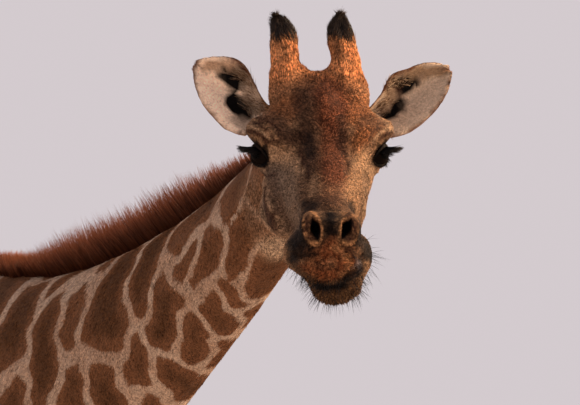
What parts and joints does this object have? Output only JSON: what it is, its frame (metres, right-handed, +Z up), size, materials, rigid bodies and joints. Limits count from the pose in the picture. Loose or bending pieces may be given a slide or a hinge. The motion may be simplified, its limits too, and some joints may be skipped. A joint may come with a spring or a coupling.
{
  "type": "giraffe",
  "caption": "Life-size standing giraffe cow, neck stretched forward and head turned to face the viewer, as a still figure.",
  "frame": {"origin": "on the ground below the middle of the animal's bounding box", "axes": "+X the way the body faces, +Y the animal's left, +Z up; the giraffe's head is turned 24 degrees to its right"},
  "size_m": [3.7052, 0.6788, 3.0273],
  "materials": {
    "hide": "short dense fur, brown patches on a paler ground",
    "mane_hair": "standing reddish brown hair",
    "black_hair": "coarse black hair",
    "hoof": "worn dark horn",
    "eye": "wet dark brown"
  },
  "bodies": {
    "root": {"ear_left": "hide", "ear_right": "hide", "eye_left": "eye", "eye_right": "eye", "head": "hide", "hoof_front_left_inner": "hoof", "hoof_front_left_outer": "hoof", "hoof_front_right_inner": "hoof", "hoof_front_right_outer": "hoof", "hoof_hind_left_inner": "hoof", "hoof_hind_left_outer": "hoof", "hoof_hind_right_inner": "hoof", "hoof_hind_right_outer": "hoof", "leg_front_left_lower": "hide", "leg_front_left_upper": "hide", "leg_front_right_lower": "hide", "leg_front_right_upper": "hide", "leg_hind_left_lower": "hide", "leg_hind_left_upper": "hide", "leg_hind_right_lower": "hide", "leg_hind_right_upper": "hide", "lower_jaw": "hide", "mane_lower": "mane_hair", "mane_middle": "mane_hair", "mane_upper": "mane_hair", "neck_lower": "hide", "neck_middle": "hide", "neck_upper": "hide", "ossicone_left": "hide", "ossicone_right": "hide", "ossicone_tuft_left": "black_hair", "ossicone_tuft_right": "black_hair", "tail": "hide", "tail_tuft": "black_hair", "trunk": "hide"}
  },
  "joints": []
}
